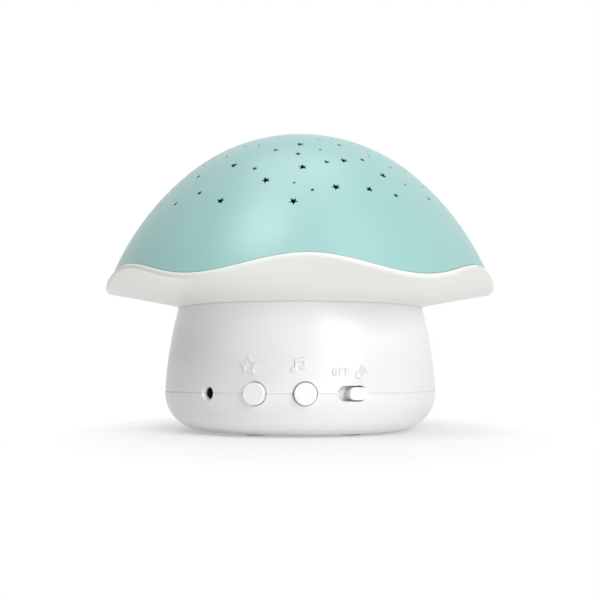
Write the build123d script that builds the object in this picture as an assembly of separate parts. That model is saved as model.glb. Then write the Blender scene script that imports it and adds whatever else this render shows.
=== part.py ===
from build123d import *
import math
import os

# A mushroom-shaped musical night light, in millimetres.
# It stands on z = 0 with its axis on Z, and its controls face -Y.
# An azimuth is in degrees round the axis from the front, positive towards +X.

# Heights, stacked from the table up
FOOT_PROUD = 0.5
BASE_HEIGHT = 16.1
STEM_HEIGHT = 34.0
RIM_RISE = 11.6
DOME_RISE = 60.6

# Walls, clearances and cuts
WALL = 2.2
FIT_GAP = 0.3
SCREW_GAP = 0.05
HOLE_GAP = 0.25
OVERRUN = 5.0

# Dome: a round crown that runs into flatter flanks
CROWN_RADIUS = 73.0
FLANK_RADIUS = 110.0
CROWN_HALF_ANGLE = 40.0
DOME_WALL = 2.0
DOME_SEAT_GAP = 0.15

# Star cut-outs: (azimuth, tilt from the crown, share of the largest star) in one third of the dome
STAR_RADIUS = 1.9
STAR_POINTS = 5
STAR_NOTCH_SHARE = 0.46
STAR_REPEATS = 3
STAR_SPIN_STEP = 47.0
STAR_PLACE_SHARES = (
    (-18, 25, 0.5), (22, 25, 0.5), (10, 27, 0.42), (32, 29, 0.42), (-37, 31, 0.5),
    (21, 32, 0.72), (-26, 32, 0.42), (-2, 33, 1.0), (38, 34, 0.42), (-14, 37, 0.72),
    (8, 37, 0.5), (-41, 38, 0.5), (34, 38, 0.42), (-3, 40, 0.72), (-56, 40, 0.5),
    (27, 41, 0.72), (17, 42, 1.0), (42, 42, 0.5), (54, 42, 0.5), (9, 43, 0.72),
    (-31, 43, 1.0), (-20, 45, 0.72), (-1, 45, 1.0), (-48, 45, 0.72), (32, 46, 1.0),
    (55, 47, 0.5), (41, 48, 0.5), (-14, 49, 1.0), (-4, 50, 0.42), (22, 51, 0.9),
    (10, 51, 1.0), (-39, 51, 0.72), (51, 51, 0.72), (59, 52, 0.42), (2, 52, 0.5),
    (32, 52, 0.72), (-49, 53, 0.72), (-28, 54, 1.0), (-4, 55, 1.0),
    (-40, 5, 0.72), (0, 9, 0.5), (-50, 13, 0.9), (20, 14, 0.5), (-15, 18, 0.72),
    (-60, 21, 0.5), (48, 20, 0.72),
)

# Brim collar: a wavy flared dish with a round lip, on a flat hub
LOBES = 6
RIM_WAVE = 3.1
BRIM_EDGE = 1.2
BRIM_WALL = 2.2
BRIM_FILLET = 1.8
FILLET_STATION_SHARES = (0, 0.33, 0.67, 1)
BRIM_STRAIGHT_SHARE = 0.62
BRIM_STATION_SHARES = (0.2, 0.4, 0.6, 0.8)
LIP_START_ANGLE = -70.0
LIP_STEPS = 4
RING_POINTS = 96
HUB_WIDTH = 9.2
HUB_SEAT_GAP = 0.1
SPIGOT_WALL = 2.0
SPIGOT_HEIGHT = 1.8
RIB_HEIGHT = 3.0
RIB_WALL = 1.4
RIB_FOOT_SHARE = 0.84

# Stem and base
BASE_RADIUS = 56.6
BASE_CORNER = 15.5
STEM_TOP_RADIUS = 51.2
STEM_BOW = 0.85
SEAM_GROOVE = 0.3
LEAD_HOLE_RADIUS = 7.0
TONGUE_WALL = 1.4
TONGUE_HEIGHT = 1.5
TONGUE_FRONT_SHARE = 0.6

# Feet, and the housing screws under them
FOOT_X = 18.0
FOOT_MARGIN = 1.65
FOOT_RADIUS = 4.5
FOOT_DEPTH = 0.8
FOOT_EDGE = 0.3
HOUSING_SCREW_RADIUS = 1.4
HOUSING_SCREW_LENGTH = 17.0
HOUSING_HEAD_RADIUS = 2.6
HOUSING_HEAD_HEIGHT = 1.8
HOUSING_HEAD_RECESS = 4.2
BASE_BOSS_RADIUS = 4.8
BASE_BOSS_HEIGHT = 8.2
POST_RADIUS = 3.6
CROSS_WIDTH = 0.6
CROSS_DEPTH = 0.9

# Battery well, cells and contacts
CELL_COUNT = 3
CELL_RADIUS = 7.25
CELL_LENGTH = 49.5
CELL_EDGE = 0.6
NUB_RADIUS = 2.75
NUB_LENGTH = 1.0
CELL_GAP = 0.3
CONTACT_ROOM = 5.6
CONTACT_THICKNESS = 0.4
CONTACT_WIDTH = 11.0
CONTACT_HEIGHT = 11.0
LUG_WIDTH = 3.0
LUG_HEIGHT = 2.9
SPRING_WIRE = 0.35
SPRING_TURNS = 4
SPRING_RADIUS = 4.4
SPRING_TIP_RADIUS = 2.8
WELL_WALL = 1.6

# Battery door and its captive screws
DOOR_THICKNESS = 2.0
DOOR_LAP = 2.0
DOOR_CORNER = 7.0
DOOR_LEDGE = 2.0
LEDGE_RIM = 1.5
EAR_RADIUS = 4.4
EAR_OUT = 2.2
DOOR_GRIP_COUNT = 4
DOOR_GRIP_LENGTH = 18.0
DOOR_GRIP_WIDTH = 1.4
DOOR_GRIP_DEPTH = 0.6
DOOR_GRIP_PITCH = 3.2
DOOR_GRIP_Y_SHARE = 0.55
DOOR_SCREW_RADIUS = 1.25
DOOR_SCREW_LENGTH = 6.5
DOOR_HEAD_RADIUS = 2.5
DOOR_HEAD_HEIGHT = 1.2
DOOR_BOSS_RADIUS = 3.4

# Controls on the parting line
LIGHT_BUTTON_AZIMUTH = -19.0
MUSIC_BUTTON_AZIMUTH = 0.0
SLIDER_AZIMUTH = 18.0
JACK_AZIMUTH = -40.0
BUTTON_RADIUS = 4.2
BUTTON_PROUD = 1.8
BUTTON_EDGE = 0.5
BUTTON_FLANGE = 1.0
BUTTON_FLANGE_THICKNESS = 1.2
BUTTON_ROD_RADIUS = 1.5
BUTTON_ROD_LENGTH = 2.2
BUTTON_TRAVEL = 0.8

# Slider knob with the shield behind its slot
SLOT_LENGTH = 11.6
SLOT_HEIGHT = 5.8
KNOB_LENGTH = 7.2
KNOB_PROUD = 1.2
KNOB_EDGE = 0.4
KNOB_END_GAP = 0.35
SHIELD_LAP = 0.6
SHIELD_THICKNESS = 1.0
SHIELD_CLEARANCE = 0.8
FORK_LENGTH = 6.0
FORK_DEPTH = 2.0

# Main board and what is soldered to it
AXIS_OVER_BOARD = 4.0
BOARD_THICKNESS = 1.6
BOARD_MARGIN = 3.4
BOARD_POST_GAP = 0.6
BOARD_SCREW_PLACE_SHARES = ((0.73, 0.0), (0.87, 43.0))
BOARD_SCREW_RADIUS = 1.0
BOARD_SCREW_LENGTH = 6.0
BOARD_HEAD_RADIUS = 2.0
BOARD_HEAD_HEIGHT = 1.4
STANDOFF_RADIUS = 2.8
SWITCH_WIDTH = 6.0
SWITCH_DEPTH = 4.3
SWITCH_ABOVE = 3.0
PLUNGER_RADIUS = 1.6
PLUNGER_OUT = 1.2
PLUNGER_IN = 1.0
SLIDE_SWITCH_LENGTH = 9.4
SLIDE_SWITCH_DEPTH = 4.4
SLIDE_SWITCH_ABOVE = 2.2
LEVER_WIDTH = 1.5
LEVER_HEIGHT = 1.5
LEVER_OUT = 2.4
LEVER_IN = 1.2
JACK_WIDTH = 6.4
JACK_DEPTH = 12.0
JACK_ABOVE = 3.2
JACK_CLEARANCE = 0.6
JACK_HOLE_RADIUS = 2.2
JACK_SINK_RADIUS = 3.0
JACK_SINK_DEPTH = 1.4
JACK_MOUTH_RADIUS = 1.9
JACK_MOUTH_LENGTH = 3.0
JACK_BORE_RADIUS = 2.4
JACK_BORE_LENGTH = 6.0
JACK_PIN_RADIUS = 0.65
JACK_PIN_SINK = 1.5
CHIP_LENGTH = 10.0
CHIP_WIDTH = 4.0
CHIP_HEIGHT = 1.6
CHIP_PLACE_SHARES = (0.15, 0.70)
CAPACITOR_RADIUS = 2.5
CAPACITOR_HEIGHT = 7.0
CAPACITOR_EDGE = 0.4
CAPACITOR_PLACE_SHARES = ((-0.165, 0.655), (-0.165, 0.79))

# Raised symbols on the stem
ICON_RELIEF = 0.35
ICON_LINE = 0.8
STAR_ICON_RADIUS = 3.9
NOTE_ICON_HEIGHT = 5.2
NOTE_SPAN_SHARES = (-0.81, -0.18)
NOTE_HEAD_RADIUS = 1.15
NOTE_HEAD_FLAT_SHARE = 0.74
NOTE_HEAD_TILT = 20.0
NOTE_BEAM_WIDTH = 1.3
LETTER_HEIGHT = 2.8
LETTER_WIDTH = 1.7
LETTER_PITCH = 2.25
LETTER_LINE = 0.45
LETTER_ARM_SHARES = (1.0, 0.8)
SOUND_ICON_RADIUS = 1.5
SOUND_ICON_PITCH = 1.05
SOUND_ICON_ARCS = 2
SOUND_WEDGE_SHARE = 0.2
STAR_ICON_RISE = 10.2
NOTE_ICON_RISE = 11.0
SLIDER_ICON_RISE = 8.0
STAR_SIDE_ANGLE = -2.7
OFF_SIDE_ANGLE = -4.6
SOUND_SIDE_ANGLE = 3.8

# Lamp deck, light source and their screws
DECK_INSET = 1.2
DECK_THICKNESS = 2.0
DECK_BOSS_RADIUS = 3.0
DECK_BOSS_HEIGHT = 6.0
DECK_SCREW_RADIUS = 1.25
DECK_SCREW_LENGTH = 12.6
DECK_SCREW_INSET = 5.2
DECK_SCREW_AZIMUTHS = (0.0, 120.0, 240.0)
DECK_HEAD_RADIUS = 2.2
DECK_HEAD_HEIGHT = 1.6
PEDESTAL_RADIUS = 11.0
PEDESTAL_BORE = 4.5
PEDESTAL_HEIGHT = 4.0
LED_BOARD_RADIUS = 9.5
LED_BOARD_THICKNESS = 1.2
LED_SIDE = 5.0
LED_HEIGHT = 1.5
LED_LENS_RADIUS = 2.2
LED_SCREW_RADIUS = 0.9
LED_SCREW_LENGTH = 4.2
LED_SCREW_CIRCLE = 7.0
LED_HEAD_RADIUS = 1.6
LED_HEAD_HEIGHT = 1.1

# Loudspeaker behind the grille at the back of the stem
SPEAKER_RISE = 15.9
SPEAKER_RADIUS = 14.0
SPEAKER_SEAT_WALL = 1.3
SPEAKER_SEAT_LIP = 1.4
SPEAKER_SEAT_LEDGE = 1.5
GASKET_THICKNESS = 0.8
FLANGE_THICKNESS = 1.2
BASKET_DEPTH = 4.5
BASKET_WALL = 0.8
BASKET_BACK_RADIUS = 8.0
MAGNET_RADIUS = 7.5
MAGNET_THICKNESS = 4.0
CONE_WALL = 0.4
CONE_NECK_RADIUS = 4.0
CONE_DEPTH = 2.6
SPEAKER_SCREW_RADIUS = 1.0
SPEAKER_SCREW_LENGTH = 4.0
SPEAKER_HEAD_RADIUS = 2.4
SPEAKER_HEAD_HEIGHT = 1.3
SPEAKER_BOSS_RADIUS = 2.3
SPEAKER_SCREW_OUT = 3.1
GRILLE_RINGS = 3
GRILLE_FIRST_RING = 6
GRILLE_PITCH = 3.5
GRILLE_HOLE_RADIUS = 0.9

# Leads inside the housings: hand-laid routes, and the side step between the two wires of a pair
LEAD_RADIUS = 0.6
LEAD_PAIR_STEP = 1.8
LEAD_BEND_SHARE = 0.45
LED_LEAD_ROUTE = (
    (-4.0, -29.5, 12.6), (-4.0, -29.5, 27.0), (-3.0, -20.0, 39.0), (-1.0, -1.5, 46.0), (-1.0, -1.5, 60.6),
)
SPEAKER_LEAD_ROUTE = (
    (12.0, -29.5, 12.6), (12.0, -29.5, 20.5), (11.0, -21.0, 26.0), (9.5, -6.0, 27.0), (7.0, 10.0, 26.5),
    (5.0, 25.0, 23.5), (3.2, 37.0, 19.3), (3.2, 46.5, 19.3),
)
PLUS_LEAD_ROUTE = (
    (27.4, -14.75, 22.0), (21.5, -14.75, 22.0), (20.0, -22.5, 24.0), (24.0, -29.5, 20.5),
    (24.0, -29.5, 12.6),
)
MINUS_LEAD_ROUTE = (
    (-27.4, 14.75, 22.0), (-21.5, 14.75, 22.0), (-19.5, 5.0, 23.4), (-17.5, -8.0, 23.0),
    (-13.5, -20.0, 23.5), (-11.5, -29.5, 20.5), (-11.5, -29.5, 12.6),
)

# Levels
SEAM_Z = FOOT_PROUD + BASE_HEIGHT
STEM_TOP_Z = SEAM_Z + STEM_HEIGHT
RIM_Z = STEM_TOP_Z + RIM_RISE
DOME_TOP_Z = RIM_Z + DOME_RISE
BOARD_TOP_Z = SEAM_Z - AXIS_OVER_BOARD
BOARD_BOTTOM_Z = BOARD_TOP_Z - BOARD_THICKNESS
BOSS_TOP_Z = FOOT_PROUD + BASE_BOSS_HEIGHT
DOOR_TOP_Z = FOOT_PROUD + DOOR_THICKNESS
LEDGE_Z = DOOR_TOP_Z + HOLE_GAP
LEDGE_TOP_Z = LEDGE_Z + DOOR_LEDGE
CELL_Z = DOOR_TOP_Z + CELL_GAP + CELL_RADIUS
ROOF_Z = CELL_Z + CELL_RADIUS + CELL_GAP
ROOF_TOP_Z = ROOF_Z + WELL_WALL
BRIM_ROOT_Z = STEM_TOP_Z + BRIM_FILLET
HUB_TOP_Z = BRIM_ROOT_Z + BRIM_WALL
DECK_TOP_Z = HUB_TOP_Z + DECK_THICKNESS
PEDESTAL_TOP_Z = DECK_TOP_Z + PEDESTAL_HEIGHT
LED_BOARD_TOP_Z = PEDESTAL_TOP_Z + LED_BOARD_THICKNESS
SPEAKER_Z = SEAM_Z + SPEAKER_RISE

# Plan sizes worked out from the ones above
INNER_RADIUS = BASE_RADIUS - WALL
BRIM_ROOT_RADIUS = STEM_TOP_RADIUS + BRIM_FILLET
HUB_BORE_RADIUS = STEM_TOP_RADIUS - HUB_WIDTH
DECK_RADIUS = STEM_TOP_RADIUS - DECK_INSET
DECK_SCREW_CIRCLE = STEM_TOP_RADIUS - DECK_SCREW_INSET
CORNER = min(BASE_CORNER, BASE_HEIGHT - SEAM_GROOVE)
WELL_HALF_X = (CELL_LENGTH + NUB_LENGTH + CONTACT_ROOM) / 2
CELL_PITCH = 2 * CELL_RADIUS + CELL_GAP
WELL_HALF_Y = (CELL_COUNT * CELL_PITCH + CELL_GAP) / 2
DOOR_HALF_X = WELL_HALF_X + DOOR_LAP
DOOR_HALF_Y = WELL_HALF_Y + DOOR_LAP
EAR_X = DOOR_HALF_X + EAR_OUT
FOOT_Y = DOOR_HALF_Y + FOOT_MARGIN + FOOT_RADIUS
KNOB_HEIGHT = SLOT_HEIGHT - 2 * KNOB_END_GAP - FIT_GAP
SLIDER_TRAVEL = SLOT_LENGTH - KNOB_LENGTH - 2 * KNOB_END_GAP
SHIELD_HALF = SLOT_LENGTH / 2 + SLIDER_TRAVEL / 2 + SHIELD_LAP
SHIELD_HEIGHT = SLOT_HEIGHT + 2 * SHIELD_LAP
BOARD_BACK_Y = -(WELL_HALF_Y + WELL_WALL + BOARD_MARGIN)

# Stations along a control's own axis, outwards from the middle of the light
BUTTON_FLANGE_RADIUS = BUTTON_RADIUS + BUTTON_FLANGE
FLANGE_DROP = max(0, BUTTON_FLANGE_RADIUS - BASE_HEIGHT + CORNER)
FLANGE_FRONT = BASE_RADIUS - CORNER + math.sqrt((CORNER - WALL) ** 2 - FLANGE_DROP ** 2) - FIT_GAP
FLANGE_BACK = FLANGE_FRONT - BUTTON_FLANGE_THICKNESS
PLUNGER_TIP = FLANGE_BACK - BUTTON_ROD_LENGTH
SWITCH_FRONT = PLUNGER_TIP - PLUNGER_OUT
BOARD_RADIUS = SWITCH_FRONT
SHIELD_FRONT = math.sqrt(INNER_RADIUS ** 2 - (SHIELD_HALF + SLIDER_TRAVEL / 2) ** 2) - SHIELD_CLEARANCE
SHIELD_BACK = SHIELD_FRONT - SHIELD_THICKNESS
LEVER_TIP = SHIELD_BACK - HOLE_GAP
SLIDE_SWITCH_FRONT = LEVER_TIP - LEVER_OUT
JACK_FRONT = math.sqrt(INNER_RADIUS ** 2 - JACK_WIDTH ** 2 / 4) - JACK_CLEARANCE
JACK_BORE_END = JACK_FRONT - JACK_MOUTH_LENGTH - JACK_BORE_LENGTH

# Centres of the dome's arcs
CROWN_Z = DOME_TOP_Z - CROWN_RADIUS
HALF_ANGLE = math.radians(CROWN_HALF_ANGLE)
FLANK_SHIFT = FLANK_RADIUS - CROWN_RADIUS
FLANK_CENTRE = (-FLANK_SHIFT * math.sin(HALF_ANGLE), CROWN_Z - FLANK_SHIFT * math.cos(HALF_ANGLE))


def section_point(radius, z):
    return Vector(radius, 0, z)


def round_axis(radius, azimuth, z=0):
    angle = math.radians(azimuth)
    return Vector(radius * math.sin(angle), -radius * math.cos(angle), z)


def radial_plane(azimuth, z):
    """Plane through the axis at height z: local x to the right as seen from outside, y up, z outwards."""
    angle = math.radians(azimuth)
    across = (math.cos(angle), math.sin(angle), 0)
    outwards = (math.sin(angle), -math.cos(angle), 0)
    return Plane(origin=(0, 0, z), x_dir=across, z_dir=outwards)


def spun(edges):
    return revolve(make_face(edges), Axis.Z)


def polyline(points):
    return [Edge.make_line(a, b) for a, b in zip(points, points[1:])]


def arc_round(centre, radius, start, end):
    """Arc in the section plane, with its angles in radians from straight up towards +X."""
    spots = []
    for angle in (start, (start + end) / 2, end):
        spot = section_point(centre[0] + radius * math.sin(angle), centre[1] + radius * math.cos(angle))
        spots.append(spot)
    return Edge.make_three_point_arc(*spots)


def rod(radius, low, high, x=0, y=0):
    return Pos(x, y, low) * extrude(Circle(radius), amount=high - low)


def along(plane, sketch, start, end):
    return plane.location * (Pos(0, 0, start) * extrude(sketch, amount=end - start))


def obround(length, height):
    return SlotOverall(length, height)


def star_sketch(radius, notch_share, spin=90.0):
    corners = []
    for step in range(2 * STAR_POINTS):
        reach = radius if step % 2 == 0 else radius * notch_share
        angle = math.radians(spin + 180 * step / STAR_POINTS)
        corners.append((reach * math.cos(angle), reach * math.sin(angle)))
    return make_face(Polyline(*corners, close=True))


def pan_screw(radius, length, head_radius, head_height):
    """Screw along +Z with the underside of its head on z = 0 and a cross recess in the head."""
    shank = rod(radius, 0, length)
    head = rod(head_radius, -head_height, 0)
    slot = Rectangle(head_radius, CROSS_WIDTH) + Rectangle(CROSS_WIDTH, head_radius)
    recess = Pos(0, 0, -head_height) * extrude(slot, amount=min(CROSS_DEPTH, head_height / 2))
    return shank + head - recess


def dome_radius(z, inset=0):
    return FLANK_CENTRE[0] + math.sqrt((FLANK_RADIUS - inset) ** 2 - (z - FLANK_CENTRE[1]) ** 2)


def dome_band(outer_inset, inner_inset, foot_z, top_z=None):
    """Body of revolution between two offsets of the dome, whole or cut off level at top_z."""
    edges = []
    ends = []
    for inset in (outer_inset, inner_inset):
        foot_angle = math.acos((foot_z - FLANK_CENTRE[1]) / (FLANK_RADIUS - inset))
        top_angle = HALF_ANGLE
        if top_z is None:
            edges.append(arc_round((0, CROWN_Z), CROWN_RADIUS - inset, 0, HALF_ANGLE))
            top = section_point(0, DOME_TOP_Z - inset)
        else:
            top_angle = math.acos((top_z - FLANK_CENTRE[1]) / (FLANK_RADIUS - inset))
            top = section_point(dome_radius(top_z, inset), top_z)
        edges.append(arc_round(FLANK_CENTRE, FLANK_RADIUS - inset, top_angle, foot_angle))
        ends.append((top, section_point(dome_radius(foot_z, inset), foot_z)))
    edges.append(Edge.make_line(ends[0][0], ends[1][0]))
    edges.append(Edge.make_line(ends[0][1], ends[1][1]))
    return spun(edges)


def rim_z(azimuth):
    return RIM_Z + RIM_WAVE * math.cos(math.radians(LOBES * azimuth))


def ring_wire(radius_at, z_at):
    """Closed smooth wire round the axis, from functions of the azimuth."""
    spots = []
    for step in range(RING_POINTS):
        azimuth = 360 * step / RING_POINTS
        spots.append(round_axis(radius_at(azimuth), azimuth, z_at(azimuth)))
    return Wire([Edge.make_spline(spots, periodic=True)])


def level_ring(radius, z):
    return ring_wire(lambda azimuth: radius, lambda azimuth: z)


def ring_solid(stretches):
    """Closed ring from stretches of wires: two wires make a ruled face, more make a smooth one."""
    faces = []
    for wires in stretches:
        faces.extend(Shell.make_loft(wires, ruled=len(wires) == 2).faces())
    return Solid(Shell(faces))


def below_rim(gap, inner, outer, low):
    """Everything under the wavy rim line, raised by a gap, between two radii."""
    inner_low = level_ring(inner, low)
    outer_low = level_ring(outer, low)
    outer_high = ring_wire(lambda azimuth: outer, lambda azimuth: rim_z(azimuth) + gap)
    inner_high = ring_wire(lambda azimuth: inner, lambda azimuth: rim_z(azimuth) + gap)
    rings = [inner_low, outer_low, outer_high, inner_high, inner_low]
    return ring_solid([pair for pair in zip(rings, rings[1:])])


def star_cutters():
    cutters = []
    for repeat in range(STAR_REPEATS):
        for count, (azimuth, tilt, share) in enumerate(STAR_PLACE_SHARES):
            angle = math.radians(tilt)
            radius = CROWN_RADIUS * math.sin(angle)
            z = CROWN_Z + CROWN_RADIUS * math.cos(angle)
            if angle > HALF_ANGLE:
                radius = FLANK_CENTRE[0] + FLANK_RADIUS * math.sin(angle)
                z = FLANK_CENTRE[1] + FLANK_RADIUS * math.cos(angle)
            turned = azimuth + 360 * repeat / STAR_REPEATS
            spot = round_axis(radius, turned, z)
            normal = round_axis(math.sin(angle), turned, math.cos(angle))
            across = round_axis(1, turned + 90)
            plane = Plane(origin=spot, x_dir=across, z_dir=normal)
            sketch = star_sketch(STAR_RADIUS * share, STAR_NOTCH_SHARE, STAR_SPIN_STEP * count)
            cutters.append(along(plane, sketch, -2 * DOME_WALL, DOME_WALL))
    return cutters


def make_dome_shade():
    foot_z = RIM_Z - RIM_WAVE - DOME_WALL
    shell = dome_band(0, DOME_WALL, foot_z)
    inner = dome_radius(RIM_Z, DOME_WALL) - OVERRUN
    outer = dome_radius(foot_z) + OVERRUN
    trimmed = shell - below_rim(DOME_SEAT_GAP, inner, outer, foot_z - OVERRUN)
    return trimmed - star_cutters()


def brim_ring(share, lift):
    """Wire on the brim: share runs from the hub to the lip, lift is the height over the underside."""
    nose = BRIM_WALL / 2
    lip_angle = math.radians(LIP_START_ANGLE)
    curved = BRIM_STRAIGHT_SHARE * share + (1 - BRIM_STRAIGHT_SHARE) * share ** 2
    end_z = RIM_Z - nose + nose * math.sin(lip_angle)

    def radius_at(azimuth):
        end = dome_radius(rim_z(azimuth)) + BRIM_EDGE - nose + nose * math.cos(lip_angle)
        return BRIM_ROOT_RADIUS + (end - BRIM_ROOT_RADIUS) * share

    def z_at(azimuth):
        wave = (rim_z(azimuth) - RIM_Z) * share ** 2
        return BRIM_ROOT_Z + (end_z - BRIM_ROOT_Z) * curved + wave + lift

    return ring_wire(radius_at, z_at)


def lip_ring(angle):
    nose = BRIM_WALL / 2
    reach = BRIM_EDGE - nose + nose * math.cos(angle)
    return ring_wire(
        lambda azimuth: dome_radius(rim_z(azimuth)) + reach,
        lambda azimuth: rim_z(azimuth) - nose + nose * math.sin(angle),
    )


def rib_ring(rise, inset):
    """Wire on the rib that the dome slips over, at a height over the rim line."""
    return ring_wire(
        lambda azimuth: dome_radius(rim_z(azimuth) + rise, DOME_WALL + FIT_GAP) - inset,
        lambda azimuth: rim_z(azimuth) + rise,
    )


def make_brim_collar():
    hub_low = STEM_TOP_Z + HUB_SEAT_GAP
    bore_low = level_ring(HUB_BORE_RADIUS, hub_low)
    bore_high = level_ring(HUB_BORE_RADIUS, HUB_TOP_Z)
    curve = []
    for share in FILLET_STATION_SHARES:
        angle = math.pi / 2 * share
        radius = BRIM_ROOT_RADIUS - BRIM_FILLET * math.cos(angle)
        curve.append(level_ring(radius, hub_low + (BRIM_ROOT_Z - hub_low) * math.sin(angle)))
    lip_start = math.radians(LIP_START_ANGLE)
    lip = []
    for step in range(LIP_STEPS + 1):
        lip.append(lip_ring(lip_start + (math.pi / 2 - lip_start) * step / LIP_STEPS))
    under = [curve[-1]] + [brim_ring(share, 0) for share in BRIM_STATION_SHARES] + [lip[0]]
    rib = [rib_ring(0, 0), rib_ring(RIB_HEIGHT, 0), rib_ring(RIB_HEIGHT, RIB_WALL)]
    above = [brim_ring(RIB_FOOT_SHARE, BRIM_WALL)]
    inside_rib = [share for share in reversed(BRIM_STATION_SHARES) if share < RIB_FOOT_SHARE]
    above += [brim_ring(share, BRIM_WALL) for share in inside_rib]
    above.append(level_ring(BRIM_ROOT_RADIUS, HUB_TOP_Z))
    stretches = [[bore_low, curve[0]], curve, under, lip]
    stretches += [[lip[-1], rib[0]], [rib[0], rib[1]], [rib[1], rib[2]], [rib[2], above[0]]]
    stretches += [above, [above[-1], bore_high], [bore_high, bore_low]]
    dish = ring_solid(stretches)
    for azimuth in DECK_SCREW_AZIMUTHS:
        spot = round_axis(DECK_SCREW_CIRCLE, azimuth)
        dish -= rod(DECK_SCREW_RADIUS + HOLE_GAP, STEM_TOP_Z, HUB_TOP_Z, spot.X, spot.Y)
    return dish


def stem_radius(z):
    share = (z - SEAM_Z) / STEM_HEIGHT
    straight = BASE_RADIUS + (STEM_TOP_RADIUS - BASE_RADIUS) * share
    return straight + STEM_BOW * 4 * share * (1 - share)


def stem_body(inset, top_z):
    """Solid stem, its side moved in by an inset, from the parting line up to top_z."""
    low = section_point(BASE_RADIUS - inset, SEAM_Z)
    middle_z = (SEAM_Z + STEM_TOP_Z) / 2
    middle = section_point(stem_radius(middle_z) - inset, middle_z)
    high = section_point(STEM_TOP_RADIUS - inset, STEM_TOP_Z)
    edges = [Edge.make_three_point_arc(low, middle, high)]
    edges += polyline([high, section_point(0, STEM_TOP_Z), section_point(0, SEAM_Z), low])
    cut = rod(BASE_RADIUS + OVERRUN, top_z, STEM_TOP_Z + OVERRUN)
    return spun(edges) - cut if top_z < STEM_TOP_Z else spun(edges)


def seam_bevel(sign):
    """Ring that takes the outer corner off a housing at the parting line."""
    corner = section_point(BASE_RADIUS - SEAM_GROOVE, SEAM_Z)
    level = section_point(BASE_RADIUS + OVERRUN, SEAM_Z)
    out = section_point(BASE_RADIUS + OVERRUN, SEAM_Z + sign * (SEAM_GROOVE + OVERRUN))
    return spun(polyline([corner, level, out, corner]))


def jack_opening():
    """Hole for the plug, with a countersunk mouth."""
    plane = radial_plane(JACK_AZIMUTH, SEAM_Z)
    hole = along(plane, Circle(JACK_HOLE_RADIUS), INNER_RADIUS - OVERRUN, BASE_RADIUS + OVERRUN)
    level = (Align.CENTER, Align.CENTER, Align.MIN)
    sink = Cone(JACK_HOLE_RADIUS, JACK_SINK_RADIUS, JACK_SINK_DEPTH, align=level)
    return hole + plane.location * (Pos(0, 0, BASE_RADIUS - JACK_SINK_DEPTH) * sink)


def control_openings():
    """Everything that is cut through the wall along the parting line for the controls."""
    hole = Circle(BUTTON_RADIUS + FIT_GAP)
    start = INNER_RADIUS - OVERRUN
    end = BASE_RADIUS + OVERRUN
    return [
        along(radial_plane(LIGHT_BUTTON_AZIMUTH, SEAM_Z), hole, start, end),
        along(radial_plane(MUSIC_BUTTON_AZIMUTH, SEAM_Z), hole, start, end),
        along(radial_plane(SLIDER_AZIMUTH, SEAM_Z), obround(SLOT_LENGTH, SLOT_HEIGHT), start, end),
        jack_opening(),
    ]


def bar(length, height, x=0, y=0, turn=0):
    return Pos(x, y) * Rot(0, 0, turn) * Rectangle(length, height)


def star_icon():
    ring = star_sketch(STAR_ICON_RADIUS, STAR_NOTCH_SHARE + ICON_LINE / STAR_ICON_RADIUS / 2)
    inner = STAR_ICON_RADIUS - 2 * ICON_LINE
    core = star_sketch(inner, STAR_NOTCH_SHARE + ICON_LINE / STAR_ICON_RADIUS / 2)
    return ring - core


def note_icon():
    """Two quavers under one slanting beam."""
    half = NOTE_ICON_HEIGHT / 2
    head = Rot(0, 0, NOTE_HEAD_TILT) * Ellipse(NOTE_HEAD_RADIUS, NOTE_HEAD_RADIUS * NOTE_HEAD_FLAT_SHARE)
    left, right = [NOTE_ICON_HEIGHT * share for share in NOTE_SPAN_SHARES]
    drop = ICON_LINE
    stem_out = NOTE_HEAD_RADIUS - ICON_LINE / 2
    sketch = bar(ICON_LINE, NOTE_ICON_HEIGHT - drop, left + stem_out, -drop / 2)
    sketch += bar(ICON_LINE, NOTE_ICON_HEIGHT - drop, right + stem_out, drop / 2)
    slope = math.degrees(math.atan2(drop, right - left))
    beam = math.hypot(right - left, drop) + ICON_LINE
    sketch += bar(beam, NOTE_BEAM_WIDTH, (left + right) / 2 + stem_out, half - NOTE_BEAM_WIDTH, slope)
    sketch += Pos(left, drop / 2 - half) * head
    sketch += Pos(right, drop * 3 / 2 - half) * head
    return sketch


def off_icon():
    letter_o = obround(LETTER_HEIGHT, LETTER_WIDTH) - obround(
        LETTER_HEIGHT - 2 * LETTER_LINE, LETTER_WIDTH - 2 * LETTER_LINE
    )
    sketch = Pos(-LETTER_PITCH, 0) * Rot(0, 0, 90) * letter_o
    for place in (0, 1):
        stem_x = place * LETTER_PITCH - LETTER_WIDTH / 2 + LETTER_LINE
        sketch += bar(LETTER_LINE, LETTER_HEIGHT, stem_x)
        for y, share in zip((LETTER_HEIGHT / 2 - LETTER_LINE / 2, LETTER_LINE / 2), LETTER_ARM_SHARES):
            length = LETTER_WIDTH * share
            sketch += bar(length, LETTER_LINE, stem_x - LETTER_LINE / 2 + length / 2, y)
    return sketch


def sound_icon():
    """Small ring with two waves at its upper right."""
    sketch = Circle(SOUND_ICON_RADIUS) - Circle(SOUND_ICON_RADIUS - LETTER_LINE)
    reach = SOUND_ICON_RADIUS + SOUND_ICON_PITCH * (SOUND_ICON_ARCS + 1)
    near = reach * SOUND_WEDGE_SHARE
    quarter = make_face(Polyline((0, 0), (reach, near), (reach, reach), (near, reach), close=True))
    for count in range(1, SOUND_ICON_ARCS + 1):
        radius = SOUND_ICON_RADIUS + SOUND_ICON_PITCH * count
        sketch += (Circle(radius) - Circle(radius - LETTER_LINE)) & quarter
    return Pos(-SOUND_ICON_PITCH, -SOUND_ICON_PITCH) * sketch


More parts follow.
